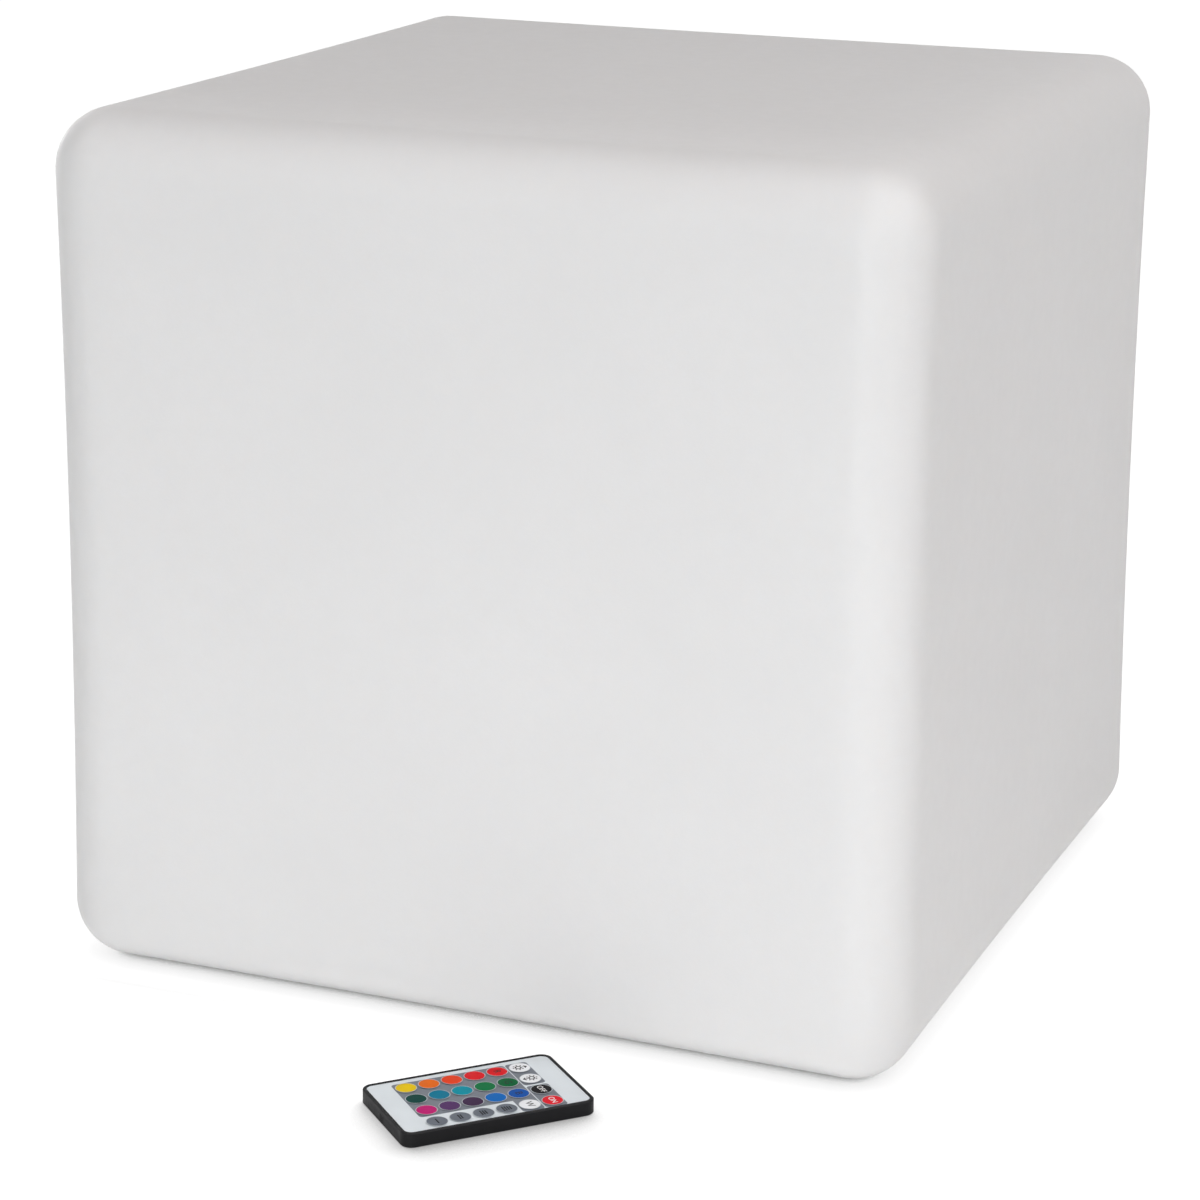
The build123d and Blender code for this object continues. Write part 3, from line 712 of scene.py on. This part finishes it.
def well_profile(well):
    """Return the half width, the corner and the height of each loop down the well."""
    lip_steps, wall_steps, fillet_steps, ceiling_steps = 6, 5, 4, 4
    fillet = 0.002
    rows = []
    for step in range(lip_steps + 1):
        angle = math.pi / 2 * step / lip_steps
        half = well.mouth + well.lip * (1 - math.sin(angle))
        rows.append((half, well.lip * (1 - math.cos(angle))))
    for step in range(1, wall_steps):
        share = step / wall_steps
        half = well.mouth + (well.ceiling - well.mouth) * share
        rows.append((half, well.lip + (well.depth - well.lip) * share))
    for step in range(fillet_steps + 1):
        angle = math.pi / 2 * step / fillet_steps
        half = well.ceiling - fillet * (1 - math.cos(angle))
        rows.append((half, well.depth - fillet + fillet * math.sin(angle)))
    profile = [(half, well.corner + half - well.mouth, height) for half, height in rows]
    for step in range(1, ceiling_steps + 1):
        share = step / ceiling_steps
        half = well.ceiling + (well.hole - well.ceiling) * share
        corner = well.corner + (well.hole_corner - well.corner) * share
        profile.append((half, corner, well.depth))
    return profile


def skin_form(settings, well):
    """Return the points and faces of the skin's outside, the well and its ceiling."""
    radius = settings.edge_radius
    reach = (HALF, HALF, HEIGHT / 2)
    flats = tuple(half - radius for half in reach)
    lines = [grid_lines(flat, settings) for flat in flats]
    points, faces, known = [], [], {}

    def number(point):
        key = tuple(round(value, 7) for value in point)
        if key not in known:
            known[key] = len(points)
            points.append(point)
        return known[key]

    def outside(sharp):
        spot = rounded_point(sharp, flats, radius)
        spot.z += HEIGHT / 2
        return number(sunk(spot, settings))

    def face_corners(axis, side, i, j):
        first, second = (axis + 1) % 3, (axis + 2) % 3
        corners = []
        for a, b in ((i, j), (i + 1, j), (i + 1, j + 1), (i, j + 1)):
            sharp = Vector((0.0, 0.0, 0.0))
            sharp[axis] = side * reach[axis]
            sharp[first] = lines[first][a]
            sharp[second] = lines[second][b]
            corners.append(sharp)
        return corners

    def under_foot(corners):
        middle = sum(corners, Vector()) / 4
        return abs(middle.x) < flats[0] and abs(middle.y) < flats[1]

    for axis in range(3):
        for side in (-1, 1):
            for i in range(len(lines[(axis + 1) % 3]) - 1):
                for j in range(len(lines[(axis + 2) % 3]) - 1):
                    corners = face_corners(axis, side, i, j)
                    if axis == 2 and side < 0 and under_foot(corners):
                        continue
                    ring = [outside(corner) for corner in corners]
                    faces.append(tuple(ring if side > 0 else reversed(ring)))
    # the foot's flat runs from the rim of the rounded edges to the well, and on up its walls
    steps = settings.flat_steps
    rim = []
    for turn in range(4):
        for step in range(steps):
            across = flats[0] * (2 * step / steps - 1)
            rim.append(outside(quarter_turned(flats[0], across, -reach[2], turn)))
    foot_share = 0.985
    inner_rim = [Vector((points[spot].x, points[spot].y, 0.0)) * foot_share for spot in rim]
    loops = [rim, [number(spot) for spot in inner_rim]]
    for half, corner, height in well_profile(well):
        loops.append([number(spot) for spot in square_loop(half, corner, height, steps)])
    for outer, inner in zip(loops, loops[1:]):
        for step in range(len(outer)):
            after = (step + 1) % len(outer)
            faces.append((outer[step], inner[step], inner[after], outer[after]))
    return points, faces


class LIGHTCUBE_OT_skin(Operator):
    """Build the moulded skin with its sunk faces, rounded edges and well"""

    bl_idname = "lightcube.build_skin"
    bl_label = "Build moulded skin"

    def execute(self, context):
        settings = context.scene.cube_skin
        points, faces = skin_form(settings, context.scene.cube_well)
        skin = make_mesh("cube_skin", points, faces, [skin_finish(settings)])
        wall = skin.modifiers.new("wall", "SOLIDIFY")
        wall.thickness = settings.wall
        wall.offset = -1.0
        wall.use_even_offset = True
        settle(skin, "cube", "moulded_skin", "shell")
        return {"FINISHED"}


# ------------------------------------------------------------ lamp module
def dress(finish, *nodes):
    """Give CAD nodes one finish."""
    for node in nodes:
        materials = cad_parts[node].data.materials
        materials.clear()
        materials.append(finish)


def screw_form(place):
    """Return the points and faces of a flange screw, and whether each face is in its slots."""
    points, faces = [], []
    count = add_form(points, faces, spin(SCREW_PROFILE, 28, place))
    indices = [0] * count
    for turn in (SLOT_TURN, SLOT_TURN + math.pi / 2):
        slot = bar(0.0, 0.0, SLOT_LENGTH, SLOT_WIDTH, turn)
        count = add_form(points, faces, prism(slot, SLOT_TOP, SLOT_ROOT, place))
        indices += [1] * count
    return points, faces, indices


class LIGHTCUBE_OT_module(Operator):
    """Finish the lamp module that closes the well, and build its round screws"""

    bl_idname = "lightcube.finish_module"
    bl_label = "Finish lamp module"

    def execute(self, context):
        shade = tuple(context.scene.cube_well.module_colour)
        plastic = plain_finish(
            "module_plastic", shade, rough=0.5, grain=900.0, depth=0.00003, vary=0.03
        )
        dress(plastic, "module_base")
        grey = (0.30, 0.30, 0.295)
        rubber = plain_finish("soft_rubber", grey, rough=0.75, grain=1500.0, depth=0.00002)
        dress(rubber, "module_gasket", "cover_seal", "port_stopper")
        pale = (0.80, 0.80, 0.79)
        frosted = plain_finish(
            "frosted_plastic", pale, rough=0.55, grain=1200.0, depth=0.00002, vary=0.02
        )
        dress(frosted, "lamp_cover", "pilot_lens")
        steel = brushed_finish("steel", (0.55, 0.55, 0.54), 0.32)
        dress(steel, "strap_screws", "battery_straps")
        dress(brushed_finish("brass_insert", (0.62, 0.43, 0.16), 0.3), "threaded_inserts")
        black = (0.05, 0.05, 0.05)
        cross = plain_finish("slot_shadow", black, rough=0.7, grain=800.0, depth=0.00001)
        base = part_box("module_base")[0].z
        points, faces, indices = [], [], []
        for x in (-SCREW_REACH, SCREW_REACH):
            for y in (-SCREW_REACH, SCREW_REACH):
                *form, more = screw_form(Matrix.Translation((x, y, base)))
                add_form(points, faces, form)
                indices += more
        screws = make_mesh("module_screws", points, faces, [steel, cross], indices, smooth=False)
        settle(screws, "cube", "steel", "flange_screws")
        return {"FINISHED"}


class LIGHTCUBE_OT_controls(Operator):
    """Finish the switch, its button and the charging socket"""

    bl_idname = "lightcube.finish_controls"
    bl_label = "Finish controls"

    def execute(self, context):
        black = (0.012, 0.012, 0.013)
        dark = plain_finish(
            "dark_plastic", black, rough=0.45, grain=1500.0, depth=0.00002, vary=0.1
        )
        dress(dark, "switch_body", "charge_socket")
        shade = tuple(context.scene.cube_well.button_colour)
        button = plain_finish(
            "button_plastic", shade, rough=0.55, grain=1800.0, depth=0.00002, vary=0.05
        )
        dress(button, "power_button")
        return {"FINISHED"}


class LIGHTCUBE_OT_inside(Operator):
    """Finish the boards, the lamps and the battery inside the module"""

    bl_idname = "lightcube.finish_inside"
    bl_label = "Finish inside"

    def execute(self, context):
        boards = ("control_board", "remote_board")
        chips = ("ir_receiver", "control_parts", "remote_chip")
        # name, colour, roughness, grain, depth of the grain, unevenness of colour, nodes
        rows = (
            ("white_board", (0.82, 0.82, 0.78), 0.35, 700.0, 0.00001, 0.03, "led_board"),
            ("green_board", (0.008, 0.09, 0.03), 0.35, 700.0, 0.00001, 0.12, *boards),
            ("dark_chip", (0.01, 0.01, 0.01), 0.5, 2600.0, 0.00001, 0.1, *chips),
            ("lamp_chip", (0.8, 0.62, 0.12), 0.3, 1800.0, 0.00001, 0.08, "led_chips"),
            ("cell_wrap", (0.015, 0.09, 0.30), 0.3, 260.0, 0.00006, 0.08, "battery_pack"),
        )
        for name, colour, rough, grain, depth, vary, *nodes in rows:
            dress(plain_finish(name, colour, rough, grain, depth, vary), *nodes)
        return {"FINISHED"}


# ------------------------------------------------------------ remote control
class LIGHTCUBE_OT_remote(Operator):
    """Finish the remote's case, printed face, drawer and inner pieces"""

    bl_idname = "lightcube.finish_remote"
    bl_label = "Finish remote"

    def execute(self, context):
        settings = context.scene.cube_remote
        black = tuple(settings.case_colour)
        case = plain_finish(
            "remote_black", black, rough=0.5, grain=2400.0, depth=0.000012, vary=0.12, gloss=0.16
        )
        dress(case, "remote_case", "cell_drawer")
        dress(film_finish(settings), "remote_face")
        steel = brushed_finish("cell_steel", (0.6, 0.6, 0.59), 0.28)
        dress(steel, "coin_cell", "cell_contacts", "snap_domes")
        smoke = (0.16, 0.14, 0.2)
        clear = plain_finish("clear_plastic", smoke, rough=0.12, grain=900.0, depth=0.00001)
        dress(clear, "ir_emitter")
        return {"FINISHED"}


def key_cap(name, settings, film, ring):
    """Return a key: a square foot under the face and a round cap with a pale ring of painted
    highlight round its edge.
    """
    low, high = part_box("key_" + name)
    top = key_spot(name)
    place = Matrix.Translation((top.x, top.y, 0.0)) @ Matrix.Rotation(remote_turn(), 4, "Z")
    stem = settings.key_radius
    outer = settings.key_head
    inner = outer - settings.key_ring
    foot_rise, foot_half = 0.0003, 0.0044
    rise = high.z - settings.key_crown
    fine = 0.00001
    brim = rise - 3 * fine
    rim = [
        (stem, low.z + foot_rise),
        (stem, brim),
        (outer - 2 * fine, brim),
        (outer, brim + fine),
        (outer - fine, rise - fine),
        (outer - 4 * fine, rise),
        (inner, rise),
    ]
    groove = [(inner - 4 * fine, rise - fine), (inner - 10 * fine, rise - fine)]
    crown = [
        (inner * width, rise + settings.key_crown * height)
        for width, height in ((0.8, 0.35), (0.55, 0.65), (0.28, 0.9), (0.08, 1.0))
    ]
    steps = 48
    points, faces = spin(rim + groove + crown, steps, place)
    # the rim's faces take the pale grey of the painted highlight round the cap's edge
    highlight_ring_faces = steps * (len(rim) - 1)
    indices = [1 if number < highlight_ring_faces else 0 for number in range(len(faces))]
    # the last two faces close the cap: the one below it and the crown's middle
    indices[-2] = 1
    foot = bar(0.0, 0.0, 2 * foot_half, 2 * foot_half)
    count = add_form(points, faces, prism(foot, low.z, low.z + foot_rise, place))
    indices += [1] * count
    return make_mesh("cap_" + name, points, faces, [film, ring], indices)


class LIGHTCUBE_OT_keys(Operator):
    """Build the round keys, each with its film and a pale ring of painted highlight round its edge
    """

    bl_idname = "lightcube.build_keys"
    bl_label = "Build keys"

    def execute(self, context):
        settings = context.scene.cube_remote
        look = {"rough": 0.45, "grain": 2600.0}
        # the pale grey ring round each key is a painted highlight of its raised edge
        grey = (0.46, 0.50, 0.53)
        ring = plain_finish("key_ring", grey, **look, depth=0.000004, vary=0.04, gloss=0.2)
        for name in (name for names in KEY_COLUMNS for name in names):
            slot = "film_" + name
            colour = KEY_FILMS[name]
            film = plain_finish(slot, colour, **look, depth=0.000006, vary=0.05, gloss=0.04)
            settle(key_cap(name, settings, film, ring), "key_" + name, slot, "key_" + name)
        return {"FINISHED"}


def flat_ring(inner, outer, middle, thickness, place):
    """Return the points and faces of a closed flat ring on a key's plane."""
    steps = 32
    loops = ((outer, 0.0), (outer, thickness), (inner, thickness), (inner, 0.0))
    points, faces = [], []
    for row, (radius, height) in enumerate(loops):
        start, above = row * steps, (row + 1) % len(loops) * steps
        for step in range(steps):
            angle = 2 * math.pi * step / steps
            spot = Vector((radius * math.cos(angle), radius * math.sin(angle) + middle, height))
            points.append(place @ spot)
            after = (step + 1) % steps
            faces.append((start + step, start + after, above + after, above + step))
    return points, faces


def flat_mark(name, shapes, place, thickness, finish, ring=None):
    """Return a thin printed mark made of closed outlines, and of a ring if one is given."""
    points, faces = flat_ring(*ring, thickness, place) if ring else ([], [])
    for shape in shapes:
        add_form(points, faces, prism(shape, 0.0, thickness, place))
    return make_mesh(name, points, faces, [finish], smooth=False)


def sun_shapes(up):
    """Return a sun's rays with an arrowhead above or below them, and the sun's ring."""
    way = 1 if up else -1
    middle = -SUN_SHIFT * way
    shapes = []
    for step in range(RAY_COUNT):
        angle = 2 * math.pi * step / RAY_COUNT
        x, y = RAY_REACH * math.cos(angle), RAY_REACH * math.sin(angle) + middle
        shapes.append(bar(x, y, *RAY_SIZE, angle))
    base, tip = middle + ARROW_BASE * way, middle + ARROW_TIP * way
    arrow = [(-ARROW_HALF, base), (ARROW_HALF, base), (0.0, tip)]
    shapes.append(arrow if up else arrow[::-1])
    return shapes, (*SUN_RING, middle)


def effect_shapes(count):
    """Return as many bars as are asked for, one above the other."""
    shapes = []
    for step in range(count):
        height = (step - (count - 1) / 2) * BAR_PITCH
        shapes.append(bar(0.0, height, BAR_LENGTH - BAR_STEP * step, BAR_HEIGHT))
    return shapes


def letters(name, text, place, size, thickness, finish):
    """Return letters as a thin closed mesh, centred on a place."""
    curve = bpy.data.curves.new(name + "_letters", "FONT")
    curve.body = text
    curve.size = size
    curve.extrude = thickness / 2
    curve.align_x = "CENTER"
    curve.align_y = "CENTER"
    carrier = bpy.data.objects.new(name + "_letters", curve)
    bpy.context.scene.collection.objects.link(carrier)
    bpy.context.view_layer.update()
    graph = bpy.context.evaluated_depsgraph_get()
    mesh = bpy.data.meshes.new_from_object(carrier.evaluated_get(graph))
    bpy.data.objects.remove(carrier)
    bpy.data.curves.remove(curve)
    mesh.transform(place @ Matrix.Translation((0.0, 0.0, thickness / 2)))
    form = bmesh.new()
    form.from_mesh(mesh)
    bmesh.ops.remove_doubles(form, verts=form.verts, dist=1e-6)
    bmesh.ops.recalc_face_normals(form, faces=form.faces)
    form.to_mesh(mesh)
    form.free()
    mesh.materials.clear()
    mesh.materials.append(finish)
    mesh.name = name
    piece = bpy.data.objects.new(name, mesh)
    bpy.context.scene.collection.objects.link(piece)
    return piece


class LIGHTCUBE_OT_marks(Operator):
    """Print the letters, suns and bars on the keys"""

    bl_idname = "lightcube.print_marks"
    bl_label = "Print key marks"

    def execute(self, context):
        settings = context.scene.cube_remote
        black, white = (0.012, 0.012, 0.015), (0.78, 0.78, 0.78)
        look = {"grain": 2600.0, "depth": 0.000004}
        dark = plain_finish("dark_print", black, rough=0.45, **look, gloss=0.1)
        light = plain_finish("light_print", white, rough=0.4, **look)
        thick = settings.mark_thickness
        turn = Matrix.Rotation(remote_turn() - math.pi / 2, 4, "Z")
        places = {name: Matrix.Translation(key_spot(name)) @ turn for name in KEY_FILMS}
        for name, text in KEY_LETTERS.items():
            finish = light if name in ("off", "on") else dark
            size = settings.mark_height * (LETTER_SHARE if len(text) == 1 else WORD_SHARE)
            mark = letters("mark_" + name, text, places[name], size, thick, finish)
            settle(mark, "key_" + name, "film_" + name)
        printed = {name: sun_shapes(name == "brighter") for name in ("brighter", "dimmer")}
        for count, names in enumerate(KEY_COLUMNS[:4], start=1):
            printed[names[3]] = effect_shapes(count), None
        for name, (shapes, ring) in printed.items():
            mark = flat_mark("mark_" + name, shapes, places[name], thick, dark, ring)
            settle(mark, "key_" + name, "film_" + name)
        return {"FINISHED"}


# ------------------------------------------------------------ stage
def openness(tree, reach, curve, way=None):
    """Return how open the floor is to light from a way, raised to a power."""
    inputs = {"Distance": reach}
    if way:
        inputs["Normal"] = added(tree, "CombineXYZ", dict(enumerate(way))).outputs["Vector"]
    node = added(tree, "AmbientOcclusion", inputs, samples=8)
    return worked(tree, "POWER", node.outputs["AO"], curve)


def floor_shade(tree, reach):
    """Return the floor's shade: close and deep under the cube, leaning in front of it.

    The remote lies in front, and its shade leans to the viewer, as under a lamp behind it.
    """
    close = openness(tree, reach, CLOSE_CURVE)
    leaning = openness(tree, LEANING_REACH * reach, LEANING_CURVE, LEANING_WAY)
    parts = added(tree, "SeparateXYZ", {"Vector": object_space(tree)})
    change = tuple(-HALF - distance for distance in SHADE_CHANGE)
    front = ranged(tree, parts.outputs["Y"], change, (0.0, 1.0))
    return added(tree, "Mix", {"Factor": front, "A": close, "B": leaning}).outputs["Result"]


def floor_finish(settings):
    """Return the white floor: plain for light, bright for the camera, with the shadow kept."""
    finish = bpy.data.materials.new("pale_floor")
    tree = cleared_tree(finish)
    matt = added(tree, "BsdfDiffuse", {"Color": FLOOR_COLOUR})
    strength = worked(tree, "MULTIPLY", floor_shade(tree, settings.shadow_reach), FLOOR_GLOW)
    glow = added(tree, "Emission", {"Color": (*WHITE, 1.0), "Strength": strength})
    share = worked(tree, "MULTIPLY", seen_rays(tree), GLOW_SHARE)
    both = seen_mix(tree, share, matt.outputs["BSDF"], glow.outputs["Emission"])
    added(tree, "OutputMaterial", {"Surface": both})
    return finish


def seen_rays(tree):
    """Return 1 for rays from the camera, off gloss and through glass, and 0 for light."""
    rays = tree.nodes.new("ShaderNodeLightPath")
    seen = rays.outputs["Is Camera Ray"]
    for kind in ("Is Glossy Ray", "Is Transmission Ray"):
        seen = worked(tree, "MAXIMUM", seen, rays.outputs[kind], clamp=True)
    return seen


def white_sky(scene, horizon, zenith):
    """Set a world that is brighter low down than overhead and that the camera sees as white."""
    world = bpy.data.worlds.new("white_sky")
    scene.world = world
    tree = cleared_tree(world)
    way = tree.nodes.new("ShaderNodeTexCoord").outputs["Generated"]
    parts = added(tree, "SeparateXYZ", {"Vector": way})
    # the height at which the sky has its overhead strength
    overhead = 0.8
    rise = ranged(tree, parts.outputs["Z"], (0.0, overhead), (horizon, zenith))
    sky = added(tree, "Background", {"Color": (*SKY_TINT, 1.0), "Strength": rise})
    white = added(tree, "Background", {"Color": (*WHITE, 1.0)})
    ways = (sky.outputs["Background"], white.outputs["Background"])
    both = seen_mix(tree, seen_rays(tree), *ways)
    added(tree, "OutputWorld", {"Surface": both})


def soft_lamp(name, spot, target, size, power, colour, beam):
    """Hang a large square lamp at a spot, turned to a target, its beam so many degrees wide."""
    data = bpy.data.lights.new(name, "AREA")
    data.shape = "SQUARE"
    data.size = size
    data.energy = power
    data.color = colour
    data.spread = math.radians(beam)
    lamp = bpy.data.objects.new(name, data)
    lamp.location = spot
    lamp.rotation_mode = "QUATERNION"
    lamp.rotation_quaternion = (Vector(target) - lamp.location).to_track_quat("-Z", "Y")
    bpy.context.scene.collection.objects.link(lamp)


def place_camera(scene, lens):
    """Set the camera at the photograph's viewing angle."""
    data = bpy.data.cameras.new("camera")
    data.sensor_width = 36.0
    data.lens = lens
    data.shift_y = CAMERA_SHIFT
    data.clip_start, data.clip_end = 0.05, 60.0
    camera = bpy.data.objects.new("camera", data)
    yaw, pitch, roll = (math.radians(angle) for angle in (CAMERA_YAW, CAMERA_PITCH, CAMERA_ROLL))
    ahead = Vector(
        (math.sin(yaw) * math.cos(pitch), math.cos(yaw) * math.cos(pitch), -math.sin(pitch))
    )
    right = Vector((math.cos(yaw), -math.sin(yaw), 0.0))
    above = right.cross(ahead)
    side = math.cos(roll) * right + math.sin(roll) * above
    up = math.cos(roll) * above - math.sin(roll) * right
    turned = Matrix((side, up, -ahead)).transposed().to_4x4()
    camera.matrix_world = Matrix.Translation(CAMERA_SPOT) @ turned
    scene.collection.objects.link(camera)
    scene.camera = camera


class LIGHTCUBE_OT_stage(Operator):
    """Lay the floor, hang the lamps and place the camera"""

    bl_idname = "lightcube.set_stage"
    bl_label = "Set stage"

    def execute(self, context):
        scene = context.scene
        settings = scene.cube_stage
        corners = [(x, y, 0.0) for x, y in bar(0.0, 0.0, 2 * FLOOR_HALF, 2 * FLOOR_HALF)]
        finish = floor_finish(settings)
        floor = make_mesh("floor", corners, [(0, 1, 2, 3)], [finish], smooth=False)
        white_sky(scene, settings.horizon, settings.zenith)
        for name, spot, target, size, power, colour, beam in LAMPS:
            soft_lamp(name, spot, target, size, getattr(settings, power), colour, beam)
        place_camera(scene, settings.lens)
        scene.view_settings.view_transform = "Standard"
        return {"FINISHED"}


# ------------------------------------------------------------ add-on
OPERATORS = (
    LIGHTCUBE_OT_skin,
    LIGHTCUBE_OT_module,
    LIGHTCUBE_OT_controls,
    LIGHTCUBE_OT_inside,
    LIGHTCUBE_OT_remote,
    LIGHTCUBE_OT_keys,
    LIGHTCUBE_OT_marks,
    LIGHTCUBE_OT_stage,
)


class LIGHTCUBE_PT_panel(Panel):
    """Settings and steps of the light cube"""

    bl_idname = "LIGHTCUBE_PT_panel"
    bl_label = "Light Cube"
    bl_space_type = "VIEW_3D"
    bl_region_type = "UI"
    bl_category = "Light Cube"

    def draw(self, context):
        layout = self.layout
        scene = context.scene
        for group in (scene.cube_skin, scene.cube_well, scene.cube_remote, scene.cube_stage):
            box = layout.box()
            for key in group.__annotations__:
                box.prop(group, key)
        for operator in OPERATORS:
            layout.operator(operator.bl_idname)


SETTINGS = (
    ("cube_skin", SkinSettings),
    ("cube_well", WellSettings),
    ("cube_remote", RemoteSettings),
    ("cube_stage", StageSettings),
)


def register():
    """Register the settings, the operators and the panel."""
    for name, group in SETTINGS:
        bpy.utils.register_class(group)
        setattr(bpy.types.Scene, name, PointerProperty(type=group))
    for operator in OPERATORS:
        bpy.utils.register_class(operator)
    bpy.utils.register_class(LIGHTCUBE_PT_panel)


def unregister():
    """Take the panel, the operators and the settings away again."""
    bpy.utils.unregister_class(LIGHTCUBE_PT_panel)
    for operator in reversed(OPERATORS):
        bpy.utils.unregister_class(operator)
    for name, group in reversed(SETTINGS):
        delattr(bpy.types.Scene, name)
        bpy.utils.unregister_class(group)


def main():
    """Build every piece and the stage."""
    register()
    bpy.ops.lightcube.build_skin()
    bpy.ops.lightcube.finish_module()
    bpy.ops.lightcube.finish_controls()
    bpy.ops.lightcube.finish_inside()
    bpy.ops.lightcube.finish_remote()
    bpy.ops.lightcube.build_keys()
    bpy.ops.lightcube.print_marks()
    bpy.ops.lightcube.set_stage()


if __name__ == "__main__":
    main()
